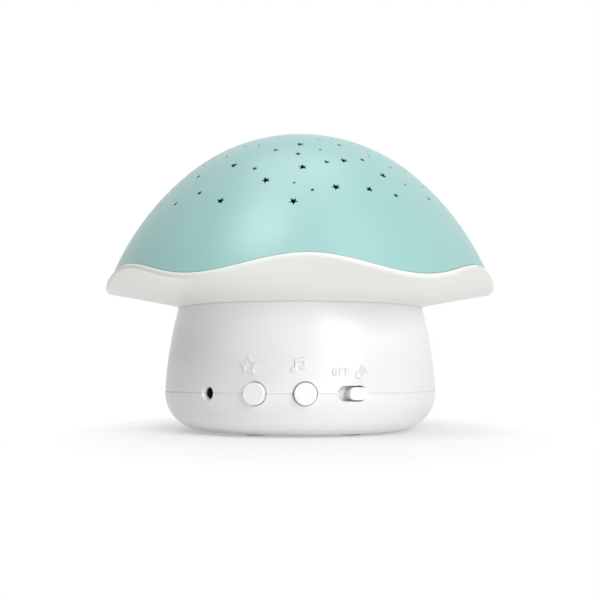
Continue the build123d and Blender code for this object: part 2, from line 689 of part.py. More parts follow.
def raised_icons():
    skin = stem_body(-ICON_RELIEF, STEM_TOP_Z)
    places = (
        (star_icon(), LIGHT_BUTTON_AZIMUTH + STAR_SIDE_ANGLE, STAR_ICON_RISE),
        (note_icon(), MUSIC_BUTTON_AZIMUTH, NOTE_ICON_RISE),
        (off_icon(), SLIDER_AZIMUTH + OFF_SIDE_ANGLE, SLIDER_ICON_RISE),
        (sound_icon(), SLIDER_AZIMUTH + SOUND_SIDE_ANGLE, SLIDER_ICON_RISE),
    )
    icons = []
    for sketch, azimuth, rise in places:
        z = SEAM_Z + rise
        plane = radial_plane(azimuth, z)
        icons.append(along(plane, sketch, stem_radius(z) - WALL / 2, BASE_RADIUS + OVERRUN) & skin)
    return icons


def foot_places():
    return [(x, y) for x in (-FOOT_X, FOOT_X) for y in (-FOOT_Y, FOOT_Y)]


def speaker_plane():
    return radial_plane(180, SPEAKER_Z)


def speaker_seat():
    """Distance from the axis to the ledge that the loudspeaker's gasket sits on."""
    return stem_radius(SPEAKER_Z + SPEAKER_RADIUS) - WALL - SPEAKER_SEAT_LEDGE


def speaker_screw_places():
    return [(side * (SPEAKER_RADIUS + SPEAKER_SCREW_OUT), 0) for side in (-1, 1)]


def grille_places():
    places = [(0, 0)]
    for ring in range(1, GRILLE_RINGS + 1):
        count = GRILLE_FIRST_RING * ring
        for step in range(count):
            angle = 2 * math.pi * step / count
            places.append((ring * GRILLE_PITCH * math.cos(angle), ring * GRILLE_PITCH * math.sin(angle)))
    return places


def speaker_mounting():
    """Seat ring, ledge and screw bosses for the loudspeaker, trimmed to the stem wall."""
    plane = speaker_plane()
    seat = speaker_seat()
    front = seat - GASKET_THICKNESS - FLANGE_THICKNESS
    bore = Circle(SPEAKER_RADIUS + FIT_GAP)
    ring = Circle(SPEAKER_RADIUS + FIT_GAP + SPEAKER_SEAT_WALL)
    tube = along(plane, ring - bore, front, BASE_RADIUS)
    ledge = along(plane, ring - Circle(SPEAKER_RADIUS - SPEAKER_SEAT_LIP), seat, BASE_RADIUS)
    mounting = tube + ledge
    for x, y in speaker_screw_places():
        boss = Pos(x, y) * Circle(SPEAKER_BOSS_RADIUS) - bore
        mounting += along(plane, boss, front, BASE_RADIUS)
    mounting -= rod(BASE_RADIUS, SEAM_Z, SEAM_Z + TONGUE_HEIGHT + FIT_GAP)
    return mounting & stem_body(WALL / 2, STEM_TOP_Z)


def make_upper_housing():
    shell = stem_body(0, STEM_TOP_Z) - stem_body(WALL, STEM_TOP_Z - WALL) - seam_bevel(1)
    shell += rod(HUB_BORE_RADIUS - FIT_GAP, STEM_TOP_Z, STEM_TOP_Z + SPIGOT_HEIGHT)
    shell -= rod(HUB_BORE_RADIUS - FIT_GAP - SPIGOT_WALL, STEM_TOP_Z, STEM_TOP_Z + SPIGOT_HEIGHT)
    shell -= rod(LEAD_HOLE_RADIUS, STEM_TOP_Z - WALL, STEM_TOP_Z)
    shell += speaker_mounting()
    pilot_low = speaker_seat() - GASKET_THICKNESS - FLANGE_THICKNESS
    for x, y in speaker_screw_places():
        pilot = Pos(x, y) * Circle(SPEAKER_SCREW_RADIUS + SCREW_GAP)
        shell -= along(speaker_plane(), pilot, pilot_low, pilot_low + SPEAKER_SCREW_LENGTH + HOLE_GAP)
    for x, y in foot_places():
        shell += rod(POST_RADIUS, BOSS_TOP_Z, STEM_TOP_Z - WALL / 2, x, y)
        pilot_top = FOOT_PROUD + HOUSING_HEAD_RECESS + HOUSING_SCREW_LENGTH + HOLE_GAP
        shell -= rod(HOUSING_SCREW_RADIUS + SCREW_GAP, BOSS_TOP_Z, pilot_top, x, y)
    for azimuth in DECK_SCREW_AZIMUTHS:
        spot = round_axis(DECK_SCREW_CIRCLE, azimuth)
        shell -= rod(DECK_SCREW_RADIUS + HOLE_GAP, STEM_TOP_Z - WALL, STEM_TOP_Z, spot.X, spot.Y)
    grille = [Pos(x, y) * Circle(GRILLE_HOLE_RADIUS) for x, y in grille_places()]
    shell -= along(speaker_plane(), Sketch() + grille, speaker_seat(), BASE_RADIUS + OVERRUN)
    shell -= control_openings()
    return shell + raised_icons()


def base_body(inset, top_z):
    """Solid of the base's round-cornered bowl, moved in by an inset."""
    corner = CORNER - inset
    centre = (BASE_RADIUS - CORNER, FOOT_PROUD + CORNER)
    low = section_point(centre[0], FOOT_PROUD + inset)
    side = section_point(BASE_RADIUS - inset, centre[1])
    edges = [arc_round(centre, corner, math.pi, math.pi / 2)]
    edges += polyline([
        side, section_point(BASE_RADIUS - inset, top_z), section_point(0, top_z),
        section_point(0, FOOT_PROUD + inset), low,
    ])
    return spun(edges)


def door_outline(grow):
    """Door plate with its two screw ears, grown all round."""
    plate = RectangleRounded(2 * (DOOR_HALF_X + grow), 2 * (DOOR_HALF_Y + grow), DOOR_CORNER + grow)
    for side in (-1, 1):
        plate += Pos(side * EAR_X, 0) * Circle(EAR_RADIUS + grow)
    return plate


def board_screw_places():
    places = []
    for share, azimuth in BOARD_SCREW_PLACE_SHARES:
        places.append(round_axis(BOARD_RADIUS * share, azimuth))
    return places


def tongue():
    """Lip inside the parting line that centres the stem, all round but where the controls are."""
    outer = INNER_RADIUS - FIT_GAP
    low = SEAM_Z - 2 * TONGUE_HEIGHT
    ring = rod(outer, low, SEAM_Z + TONGUE_HEIGHT)
    ring += rod(INNER_RADIUS + WALL / 2, low, SEAM_Z - TONGUE_HEIGHT) & base_body(WALL / 2, SEAM_Z)
    ring -= rod(outer - TONGUE_WALL, low, SEAM_Z + TONGUE_HEIGHT)
    front = Box(2 * BASE_RADIUS, 2 * BASE_RADIUS, 2 * BASE_RADIUS)
    return ring - Pos(0, -BASE_RADIUS * (TONGUE_FRONT_SHARE + 1), SEAM_Z) * front


def make_base_housing():
    inside = base_body(WALL / 2, SEAM_Z)
    shell = base_body(0, SEAM_Z) - base_body(WALL, SEAM_Z) - seam_bevel(-1)
    frame = Pos(0, 0, FOOT_PROUD) * extrude(door_outline(HOLE_GAP + LEDGE_RIM), LEDGE_TOP_Z - FOOT_PROUD)
    shell += frame & base_body(0, SEAM_Z)
    tub = Rectangle(2 * (WELL_HALF_X + WELL_WALL), 2 * (WELL_HALF_Y + WELL_WALL))
    shell += Pos(0, 0, LEDGE_Z) * extrude(tub, ROOF_TOP_Z - LEDGE_Z)
    for x, y in foot_places():
        shell += rod(BASE_BOSS_RADIUS, FOOT_PROUD + FOOT_DEPTH, BOSS_TOP_Z, x, y)
    for side in (-1, 1):
        boss_top = LEDGE_Z + DOOR_SCREW_LENGTH + WALL
        shell += rod(DOOR_BOSS_RADIUS, LEDGE_Z, boss_top, side * EAR_X)
    for spot in board_screw_places():
        shell += rod(STANDOFF_RADIUS, FOOT_PROUD + WALL / 2, BOARD_BOTTOM_Z, spot.X, spot.Y) & inside
    shell += tongue()
    shell -= Pos(0, 0, FOOT_PROUD) * extrude(door_outline(HOLE_GAP), LEDGE_Z - FOOT_PROUD)
    well = Rectangle(2 * WELL_HALF_X, 2 * WELL_HALF_Y)
    shell -= Pos(0, 0, FOOT_PROUD) * extrude(well, ROOF_Z - FOOT_PROUD)
    for x, y in foot_places():
        shell -= rod(FOOT_RADIUS + HOLE_GAP / 2, FOOT_PROUD, FOOT_PROUD + FOOT_DEPTH, x, y)
        shell -= rod(HOUSING_HEAD_RADIUS + HOLE_GAP, FOOT_PROUD, FOOT_PROUD + HOUSING_HEAD_RECESS, x, y)
        shell -= rod(HOUSING_SCREW_RADIUS + HOLE_GAP, FOOT_PROUD, BOSS_TOP_Z, x, y)
    for side in (-1, 1):
        pilot_top = LEDGE_Z + DOOR_SCREW_LENGTH + HOLE_GAP
        shell -= rod(DOOR_SCREW_RADIUS + HOLE_GAP / 2, FOOT_PROUD, pilot_top, side * EAR_X)
    for spot in board_screw_places():
        pilot_low = BOARD_TOP_Z - BOARD_SCREW_LENGTH - HOLE_GAP
        shell -= rod(BOARD_SCREW_RADIUS + SCREW_GAP, pilot_low, BOARD_BOTTOM_Z, spot.X, spot.Y)
    for side, cell in lug_places():
        slot = Rectangle(CONTACT_THICKNESS + 2 * HOLE_GAP, LUG_WIDTH + 2 * HOLE_GAP)
        x = side * (WELL_HALF_X - HOLE_GAP - CONTACT_THICKNESS / 2)
        shell -= Pos(x, cell_y(cell), ROOF_Z) * extrude(slot, WELL_WALL)
    return shell - control_openings()


def make_rubber_feet():
    feet = []
    for x, y in foot_places():
        foot = rod(FOOT_RADIUS, 0, FOOT_PROUD + FOOT_DEPTH, x, y)
        feet.append(chamfer(foot.edges().group_by(Axis.Z)[0], FOOT_EDGE))
    return feet


def make_housing_screws():
    screw = pan_screw(HOUSING_SCREW_RADIUS, HOUSING_SCREW_LENGTH, HOUSING_HEAD_RADIUS, HOUSING_HEAD_HEIGHT)
    seat = FOOT_PROUD + HOUSING_HEAD_RECESS
    return [Pos(x, y, seat) * screw for x, y in foot_places()]


def make_deck_screws():
    screw = pan_screw(DECK_SCREW_RADIUS, DECK_SCREW_LENGTH, DECK_HEAD_RADIUS, DECK_HEAD_HEIGHT)
    screws = []
    for azimuth in DECK_SCREW_AZIMUTHS:
        spot = round_axis(DECK_SCREW_CIRCLE, azimuth, STEM_TOP_Z - WALL)
        screws.append(Pos(spot.X, spot.Y, spot.Z) * screw)
    return screws


def make_lamp_deck():
    deck = rod(DECK_RADIUS, HUB_TOP_Z, DECK_TOP_Z) + rod(PEDESTAL_RADIUS, HUB_TOP_Z, PEDESTAL_TOP_Z)
    deck -= rod(PEDESTAL_BORE, HUB_TOP_Z, PEDESTAL_TOP_Z)
    for azimuth in DECK_SCREW_AZIMUTHS:
        spot = round_axis(DECK_SCREW_CIRCLE, azimuth)
        pilot_top = STEM_TOP_Z - WALL + DECK_SCREW_LENGTH + HOLE_GAP
        deck += rod(DECK_BOSS_RADIUS, HUB_TOP_Z, DECK_TOP_Z + DECK_BOSS_HEIGHT, spot.X, spot.Y)
        deck -= rod(DECK_SCREW_RADIUS + SCREW_GAP, HUB_TOP_Z, pilot_top, spot.X, spot.Y)
    for x in (-LED_SCREW_CIRCLE, LED_SCREW_CIRCLE):
        pilot_low = LED_BOARD_TOP_Z - LED_SCREW_LENGTH - HOLE_GAP
        deck -= rod(LED_SCREW_RADIUS + SCREW_GAP, pilot_low, PEDESTAL_TOP_Z, x)
    return deck


def make_led_board():
    board = rod(LED_BOARD_RADIUS, PEDESTAL_TOP_Z, LED_BOARD_TOP_Z)
    for x in (-LED_SCREW_CIRCLE, LED_SCREW_CIRCLE):
        board -= rod(LED_SCREW_RADIUS + SCREW_GAP, PEDESTAL_TOP_Z, LED_BOARD_TOP_Z, x)
    return board


def make_projector_led():
    package = Pos(0, 0, LED_BOARD_TOP_Z) * extrude(Rectangle(LED_SIDE, LED_SIDE), LED_HEIGHT)
    top = LED_BOARD_TOP_Z + LED_HEIGHT
    lens = Pos(0, 0, top) * Sphere(LED_LENS_RADIUS)
    return package + (lens & rod(LED_SIDE, top, top + LED_SIDE))


def make_led_screws():
    screw = pan_screw(LED_SCREW_RADIUS, LED_SCREW_LENGTH, LED_HEAD_RADIUS, LED_HEAD_HEIGHT)
    turned = Rot(180, 0, 0) * screw
    return [Pos(x, 0, LED_BOARD_TOP_Z) * turned for x in (-LED_SCREW_CIRCLE, LED_SCREW_CIRCLE)]


def make_button(azimuth):
    plane = radial_plane(azimuth, SEAM_Z)
    face = BASE_RADIUS + BUTTON_PROUD
    cap = extrude(Circle(BUTTON_RADIUS), face - FLANGE_BACK)
    cap = fillet(cap.edges().group_by(Axis.Z)[-1], BUTTON_EDGE)
    button = plane.location * (Pos(0, 0, FLANGE_BACK) * cap)
    button += along(plane, Circle(BUTTON_FLANGE_RADIUS), FLANGE_BACK, FLANGE_FRONT)
    return button + along(plane, Circle(BUTTON_ROD_RADIUS), PLUNGER_TIP, FLANGE_BACK)


def make_tact_switch(azimuth):
    plane = radial_plane(azimuth, SEAM_Z)
    height = AXIS_OVER_BOARD + SWITCH_ABOVE
    block = bar(SWITCH_WIDTH, height, 0, height / 2 - AXIS_OVER_BOARD)
    body = along(plane, block, SWITCH_FRONT - SWITCH_DEPTH, SWITCH_FRONT)
    bore_end = SWITCH_FRONT - PLUNGER_IN - BUTTON_TRAVEL - FIT_GAP
    return body - along(plane, Circle(PLUNGER_RADIUS + HOLE_GAP), bore_end, SWITCH_FRONT)


def make_plunger(azimuth):
    plane = radial_plane(azimuth, SEAM_Z)
    return along(plane, Circle(PLUNGER_RADIUS), SWITCH_FRONT - PLUNGER_IN, PLUNGER_TIP)


def make_mode_slider():
    plane = radial_plane(SLIDER_AZIMUTH, SEAM_Z)
    rest = Pos(SLIDER_TRAVEL / 2, 0)
    face = BASE_RADIUS + KNOB_PROUD
    knob = extrude(obround(KNOB_LENGTH, KNOB_HEIGHT), face - SHIELD_BACK)
    knob = fillet(knob.edges().group_by(Axis.Z)[-1], KNOB_EDGE)
    slider = plane.location * (Pos(SLIDER_TRAVEL / 2, 0, SHIELD_BACK) * knob)
    slider += along(plane, rest * Rectangle(2 * SHIELD_HALF, SHIELD_HEIGHT), SHIELD_BACK, SHIELD_FRONT)
    fork = Rectangle(FORK_LENGTH, KNOB_HEIGHT) - Rectangle(LEVER_WIDTH + HOLE_GAP, LEVER_HEIGHT + HOLE_GAP)
    return slider + along(plane, rest * fork, SHIELD_BACK - FORK_DEPTH, SHIELD_BACK)


def make_slide_switch():
    plane = radial_plane(SLIDER_AZIMUTH, SEAM_Z)
    height = AXIS_OVER_BOARD + SLIDE_SWITCH_ABOVE
    block = bar(SLIDE_SWITCH_LENGTH, height, 0, height / 2 - AXIS_OVER_BOARD)
    body = along(plane, block, SLIDE_SWITCH_FRONT - SLIDE_SWITCH_DEPTH, SLIDE_SWITCH_FRONT)
    window = Rectangle(SLIDER_TRAVEL + LEVER_WIDTH + 2 * HOLE_GAP, LEVER_HEIGHT + 2 * HOLE_GAP)
    return body - along(plane, window, SLIDE_SWITCH_FRONT - LEVER_IN - HOLE_GAP, SLIDE_SWITCH_FRONT)


def make_slide_lever():
    plane = radial_plane(SLIDER_AZIMUTH, SEAM_Z)
    lever = Pos(SLIDER_TRAVEL / 2, 0) * Rectangle(LEVER_WIDTH, LEVER_HEIGHT)
    return along(plane, lever, SLIDE_SWITCH_FRONT - LEVER_IN, LEVER_TIP)


def make_dc_jack():
    plane = radial_plane(JACK_AZIMUTH, SEAM_Z)
    height = AXIS_OVER_BOARD + JACK_ABOVE
    block = bar(JACK_WIDTH, height, 0, height / 2 - AXIS_OVER_BOARD)
    body = along(plane, block, JACK_FRONT - JACK_DEPTH, JACK_FRONT)
    mouth_end = JACK_FRONT - JACK_MOUTH_LENGTH
    body -= along(plane, Circle(JACK_MOUTH_RADIUS), mouth_end, JACK_FRONT)
    body -= along(plane, Circle(JACK_BORE_RADIUS), JACK_BORE_END, mouth_end)
    return body - along(plane, Circle(JACK_PIN_RADIUS), JACK_BORE_END - JACK_PIN_SINK, JACK_BORE_END)


def make_dc_jack_pin():
    plane = radial_plane(JACK_AZIMUTH, SEAM_Z)
    tip = JACK_FRONT - JACK_MOUTH_LENGTH - FIT_GAP
    return along(plane, Circle(JACK_PIN_RADIUS), JACK_BORE_END - JACK_PIN_SINK, tip)


def make_main_board():
    board = rod(BOARD_RADIUS, BOARD_BOTTOM_Z, BOARD_TOP_Z)
    board -= Pos(0, BOARD_BACK_Y, BOARD_BOTTOM_Z) * extrude(
        Rectangle(2 * BOARD_RADIUS, 2 * BOARD_RADIUS, align=(Align.CENTER, Align.MIN)), BOARD_THICKNESS
    )
    for x, y in foot_places():
        board -= rod(POST_RADIUS + BOARD_POST_GAP, BOARD_BOTTOM_Z, BOARD_TOP_Z, x, y)
    for spot in board_screw_places():
        board -= rod(BOARD_SCREW_RADIUS + SCREW_GAP, BOARD_BOTTOM_Z, BOARD_TOP_Z, spot.X, spot.Y)
    return board


def make_board_screws():
    screw = pan_screw(BOARD_SCREW_RADIUS, BOARD_SCREW_LENGTH, BOARD_HEAD_RADIUS, BOARD_HEAD_HEIGHT)
    turned = Rot(180, 0, 0) * screw
    return [Pos(spot.X, spot.Y, BOARD_TOP_Z) * turned for spot in board_screw_places()]


def make_sound_chip():
    across, forward = CHIP_PLACE_SHARES
    spot = Pos(BOARD_RADIUS * across, -BOARD_RADIUS * forward, BOARD_TOP_Z)
    return spot * extrude(Rectangle(CHIP_WIDTH, CHIP_LENGTH), CHIP_HEIGHT)


def make_capacitors():
    cans = []
    for across, forward in CAPACITOR_PLACE_SHARES:
        can = extrude(Circle(CAPACITOR_RADIUS), CAPACITOR_HEIGHT)
        can = fillet(can.edges().group_by(Axis.Z)[-1], CAPACITOR_EDGE)
        cans.append(Pos(BOARD_RADIUS * across, -BOARD_RADIUS * forward, BOARD_TOP_Z) * can)
    return cans


def cell_y(cell):
    return (cell - (CELL_COUNT - 1) / 2) * CELL_PITCH


def cell_side(cell):
    """The end that a cell's plus pole points to: neighbours lie head to tail."""
    return 1 if cell % 2 == 0 else -1


def lug_places():
    """The two outer poles, which carry the solder lugs: (end of the well, cell)."""
    return [(cell_side(0), 0), (-cell_side(CELL_COUNT - 1), CELL_COUNT - 1)]


def make_battery_cells():
    cells = []
    plate = WELL_HALF_X - HOLE_GAP - CONTACT_THICKNESS
    for cell in range(CELL_COUNT):
        body = extrude(Circle(CELL_RADIUS), CELL_LENGTH)
        body = fillet(body.edges(), CELL_EDGE)
        body += rod(NUB_RADIUS, CELL_LENGTH, CELL_LENGTH + NUB_LENGTH)
        lying = Rot(0, 90 * cell_side(cell), 0) * body
        start = cell_side(cell) * (plate - CELL_LENGTH - NUB_LENGTH)
        cells.append(Pos(start, cell_y(cell), CELL_Z) * lying)
    return cells


def make_battery_springs():
    springs = []
    plate = WELL_HALF_X - HOLE_GAP - CONTACT_THICKNESS
    cell_end = CELL_LENGTH + NUB_LENGTH - plate
    height = plate - cell_end - 2 * SPRING_WIRE
    lean = -math.degrees(math.atan2(SPRING_RADIUS - SPRING_TIP_RADIUS, height))
    for cell in range(CELL_COUNT):
        path = Edge.make_helix(height / SPRING_TURNS, height, SPRING_RADIUS, angle=lean)
        start = Plane(origin=path @ 0, z_dir=path % 0)
        coil = sweep(start * Circle(SPRING_WIRE), path=path)
        side = -cell_side(cell)
        lying = Rot(0, -90 * side, 0) * coil
        springs.append(Pos(side * (plate - SPRING_WIRE), cell_y(cell), CELL_Z) * lying)
    return springs


def make_battery_contacts():
    contacts = []
    x = WELL_HALF_X - HOLE_GAP - CONTACT_THICKNESS / 2
    for side in (-1, 1):
        lugs = [cell for lug_side, cell in lug_places() if lug_side == side]
        linked = [cell_y(cell) for cell in range(CELL_COUNT) if cell not in lugs]
        spans = [(min(linked), max(linked))] + [(cell_y(cell), cell_y(cell)) for cell in lugs]
        for low, high in spans:
            plate = Box(CONTACT_THICKNESS, high - low + CONTACT_WIDTH, CONTACT_HEIGHT)
            contacts.append(Pos(side * x, (low + high) / 2, CELL_Z) * plate)
        for cell in lugs:
            height = ROOF_TOP_Z + LUG_HEIGHT - CELL_Z
            lug = extrude(Rectangle(CONTACT_THICKNESS, LUG_WIDTH), height)
            contacts[-1] += Pos(side * x, cell_y(cell), CELL_Z) * lug
    return contacts


def make_battery_door():
    door = Pos(0, 0, FOOT_PROUD) * extrude(door_outline(0), DOOR_THICKNESS)
    for side in (-1, 1):
        seat = FOOT_PROUD + DOOR_HEAD_HEIGHT
        door -= rod(DOOR_HEAD_RADIUS + HOLE_GAP, FOOT_PROUD, seat, side * EAR_X)
        door -= rod(DOOR_SCREW_RADIUS + HOLE_GAP, seat, DOOR_TOP_Z, side * EAR_X)
    for count in range(DOOR_GRIP_COUNT):
        y = -DOOR_HALF_Y * DOOR_GRIP_Y_SHARE + (count - (DOOR_GRIP_COUNT - 1) / 2) * DOOR_GRIP_PITCH
        groove = obround(DOOR_GRIP_LENGTH, DOOR_GRIP_WIDTH)
        door -= Pos(0, y, FOOT_PROUD) * extrude(groove, DOOR_GRIP_DEPTH)
    return door


def make_door_screw(side):
    length = DOOR_THICKNESS - DOOR_HEAD_HEIGHT + DOOR_SCREW_LENGTH
    screw = pan_screw(DOOR_SCREW_RADIUS, length, DOOR_HEAD_RADIUS, DOOR_HEAD_HEIGHT)
    return Pos(side * EAR_X, 0, FOOT_PROUD + DOOR_HEAD_HEIGHT) * screw


def make_speaker_frame():
    seat = speaker_seat() - GASKET_THICKNESS
    plane = speaker_plane()
    back = seat - FLANGE_THICKNESS - BASKET_DEPTH
    rim = SPEAKER_RADIUS - SPEAKER_SEAT_LIP
    flange = along(plane, Circle(SPEAKER_RADIUS) - Circle(rim - BASKET_WALL), seat - FLANGE_THICKNESS, seat)
    floor = back + BASKET_WALL
    outer = [(BASKET_BACK_RADIUS, back), (rim, seat - FLANGE_THICKNESS)]
    inner = [(rim - BASKET_WALL, seat - FLANGE_THICKNESS), (BASKET_BACK_RADIUS - BASKET_WALL, floor)]
    points = [(0, back)] + outer + inner + [(0, floor), (0, back)]
    basket = spun(polyline([section_point(radius, z) for radius, z in points]))
    return flange + plane.location * basket


def make_speaker_cone():
    seat = speaker_seat() - GASKET_THICKNESS
    rim = SPEAKER_RADIUS - SPEAKER_SEAT_LIP - BASKET_WALL - FIT_GAP
    neck_z = seat - CONE_DEPTH
    outer = [(CONE_NECK_RADIUS, neck_z), (rim, seat)]
    inner = [(rim, seat - CONE_WALL), (CONE_NECK_RADIUS, neck_z - CONE_WALL)]
    cap = [(0, neck_z - CONE_WALL), (0, neck_z + CONE_WALL)]
    points = cap + outer + inner + cap[:1]
    cone = spun(polyline([section_point(radius, z) for radius, z in points]))
    return speaker_plane().location * cone


def make_speaker_magnet():
    back = speaker_seat() - GASKET_THICKNESS - FLANGE_THICKNESS - BASKET_DEPTH
    return along(speaker_plane(), Circle(MAGNET_RADIUS), back - MAGNET_THICKNESS, back)


def make_speaker_gasket():
    ring = Circle(SPEAKER_RADIUS) - Circle(SPEAKER_RADIUS - SPEAKER_SEAT_LIP)
    return along(speaker_plane(), ring, speaker_seat() - GASKET_THICKNESS, speaker_seat())


def make_speaker_screws():
    front = speaker_seat() - GASKET_THICKNESS - FLANGE_THICKNESS
    screw = pan_screw(SPEAKER_SCREW_RADIUS, SPEAKER_SCREW_LENGTH, SPEAKER_HEAD_RADIUS, SPEAKER_HEAD_HEIGHT)
    plane = speaker_plane()
    return [plane.location * (Pos(x, y, front) * screw) for x, y in speaker_screw_places()]


def lead(route, shift=0):
    """Wire along straight runs joined by arcs as large as the runs allow."""
    spots = [Vector(x + shift, y, z) for x, y, z in route]
    radii = []
    for before, corner, after in zip(spots, spots[1:], spots[2:]):
        run_in = corner - before
        run_out = after - corner
        half_turn = math.radians(run_in.get_angle(run_out)) / 2
        radii.append(LEAD_BEND_SHARE * min(run_in.length, run_out.length) / math.tan(half_turn))
    path = FilletPolyline(*spots, radius=radii)
    start = Plane(origin=path @ 0, z_dir=path % 0)
    return sweep(start * Circle(LEAD_RADIUS), path=path)


def lead_pair(route):
    return [lead(route, -LEAD_PAIR_STEP / 2), lead(route, LEAD_PAIR_STEP / 2)]


NODES = {
    "dome_shade": make_dome_shade(),
    "brim_collar": make_brim_collar(),
    "upper_housing": make_upper_housing(),
    "base_housing": make_base_housing(),
    "rubber_feet": make_rubber_feet(),
    "housing_screws": make_housing_screws(),
    "deck_screws": make_deck_screws(),
    "lamp_deck": make_lamp_deck(),
    "led_board": make_led_board(),
    "projector_led": make_projector_led(),
    "led_board_screws": make_led_screws(),
    "light_button": make_button(LIGHT_BUTTON_AZIMUTH),
    "music_button": make_button(MUSIC_BUTTON_AZIMUTH),
    "light_switch": make_tact_switch(LIGHT_BUTTON_AZIMUTH),
    "music_switch": make_tact_switch(MUSIC_BUTTON_AZIMUTH),
    "light_switch_plunger": make_plunger(LIGHT_BUTTON_AZIMUTH),
    "music_switch_plunger": make_plunger(MUSIC_BUTTON_AZIMUTH),
    "mode_slider": make_mode_slider(),
    "slide_switch": make_slide_switch(),
    "slide_switch_lever": make_slide_lever(),
    "dc_jack": make_dc_jack(),
    "dc_jack_pin": make_dc_jack_pin(),
    "main_board": make_main_board(),
    "board_screws": make_board_screws(),
    "sound_chip": make_sound_chip(),
    "capacitors": make_capacitors(),
    "battery_cells": make_battery_cells(),
    "battery_springs": make_battery_springs(),
    "battery_contacts": make_battery_contacts(),
    "battery_door": make_battery_door(),
    "door_screw_left": make_door_screw(-1),
    "door_screw_right": make_door_screw(1),
    "speaker_frame": make_speaker_frame(),
    "speaker_cone": make_speaker_cone(),
    "speaker_magnet": make_speaker_magnet(),
    "speaker_gasket": make_speaker_gasket(),
    "speaker_screws": make_speaker_screws(),
    "led_leads": lead_pair(LED_LEAD_ROUTE),
    "speaker_leads": lead_pair(SPEAKER_LEAD_ROUTE),
    "battery_leads": [lead(PLUS_LEAD_ROUTE), lead(MINUS_LEAD_ROUTE)],
}

os.makedirs("parts", exist_ok=True)
for name, made in NODES.items():
    pieces = made if isinstance(made, list) else [made]
    solids = [solid for piece in pieces for solid in piece.solids()]
    export_step(Compound(solids) if len(solids) > 1 else solids[0], f"parts/{name}.step")
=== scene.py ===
"""Looks, light and camera for the mushroom-shaped musical night light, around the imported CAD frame."""
import math

import bpy
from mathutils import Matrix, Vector


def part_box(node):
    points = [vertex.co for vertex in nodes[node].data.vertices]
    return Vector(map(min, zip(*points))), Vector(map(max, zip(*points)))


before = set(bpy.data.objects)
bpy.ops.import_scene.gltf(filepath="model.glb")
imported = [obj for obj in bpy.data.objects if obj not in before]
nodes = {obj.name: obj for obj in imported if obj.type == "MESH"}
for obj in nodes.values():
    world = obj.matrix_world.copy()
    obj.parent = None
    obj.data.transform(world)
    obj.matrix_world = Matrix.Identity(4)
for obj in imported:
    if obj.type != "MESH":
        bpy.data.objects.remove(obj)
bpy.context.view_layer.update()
scene = bpy.context.scene
scene.view_settings.view_transform = "Standard"


# Shader helpers

def new_material(name):
    made = bpy.data.materials.new(name)
    made.use_nodes = True
    tree = made.node_tree
    tree.nodes.clear()
    output = tree.nodes.new("ShaderNodeOutputMaterial")
    shader = tree.nodes.new("ShaderNodeBsdfPrincipled")
    tree.links.new(shader.outputs["BSDF"], output.inputs["Surface"])
    return made, tree, shader


def place(tree):
    """Object coordinates, in metres in the shared frame."""
    return tree.nodes.new("ShaderNodeTexCoord").outputs["Object"]


def noise(tree, scale, detail=2.0, roughness=0.5):
    node = tree.nodes.new("ShaderNodeTexNoise")
    node.inputs["Scale"].default_value = scale
    node.inputs["Detail"].default_value = detail
    node.inputs["Roughness"].default_value = roughness
    tree.links.new(place(tree), node.inputs["Vector"])
    return node.outputs["Fac"]


def remap(tree, value, low, high, start=0.3, end=0.7):
    node = tree.nodes.new("ShaderNodeMapRange")
    node.inputs["From Min"].default_value = start
    node.inputs["From Max"].default_value = end
    node.inputs["To Min"].default_value = low
    node.inputs["To Max"].default_value = high
    tree.links.new(value, node.inputs["Value"])
    return node.outputs["Result"]


def mixed(tree, factor, first, second):
    node = tree.nodes.new("ShaderNodeMix")
    node.data_type = "RGBA"
    for socket, value in (("A", first), ("B", second)):
        target = [s for s in node.inputs if s.name == socket and s.type == "RGBA"][0]
        if isinstance(value, bpy.types.NodeSocket):
            tree.links.new(value, target)
        else:
            target.default_value = (*value, 1.0)
    tree.links.new(factor, node.inputs["Factor"])
    return [s for s in node.outputs if s.type == "RGBA"][0]


def paint(tree, shader, factor, first, second):
    """Base colour between two colours."""
    tree.links.new(mixed(tree, factor, first, second), shader.inputs["Base Color"])


def gloss(tree, shader, scale, low, high, detail=3.0, start=0.3, end=0.7):
    """Uneven gloss: roughness that drifts between two values."""
    drift = remap(tree, noise(tree, scale, detail), low, high, start, end)
    tree.links.new(drift, shader.inputs["Roughness"])


def bump(tree, shader, height, depth, edge=0.0):
    """Fine relief, over edges rounded by the tool's radius where there is one."""
    node = tree.nodes.new("ShaderNodeBump")
    if edge:
        soft = tree.nodes.new("ShaderNodeBevel")
        soft.samples = 6
        soft.inputs["Radius"].default_value = edge
        tree.links.new(soft.outputs["Normal"], node.inputs["Normal"])
    node.inputs["Distance"].default_value = depth
    tree.links.new(height, node.inputs["Height"])
    tree.links.new(node.outputs["Normal"], shader.inputs["Normal"])


def split(tree):
    node = tree.nodes.new("ShaderNodeSeparateXYZ")
    tree.links.new(place(tree), node.inputs["Vector"])
    return node.outputs


def sums(tree, operation, first, second=None):
    node = tree.nodes.new("ShaderNodeMath")
    node.operation = operation
    for socket, value in zip(node.inputs, (first, second)):
        if isinstance(value, bpy.types.NodeSocket):
            tree.links.new(value, socket)
        elif value is not None:
            socket.default_value = value
    return node.outputs[0]


def moulded(name, colour, rough, depth=0.00002, tint=0.03, edge=0.0):
    """Moulded plastic: faint cloudiness in the colour, uneven gloss and a fine spark-eroded grain."""
    made, tree, shader = new_material(name)
    darker = tuple(c * (1 - tint) for c in colour)
    cloud = remap(tree, noise(tree, CLOUD_SCALE, detail=1.0), 0.0, 1.0, start=0.2, end=0.8)
    paint(tree, shader, cloud, darker, colour)
    gloss(tree, shader, 120.0, rough - GLOSS_DRIFT, rough + GLOSS_DRIFT, detail=1.0, start=0.2, end=0.8)
    bump(tree, shader, noise(tree, MOULD_GRAIN_SCALE), depth, edge)
    return made


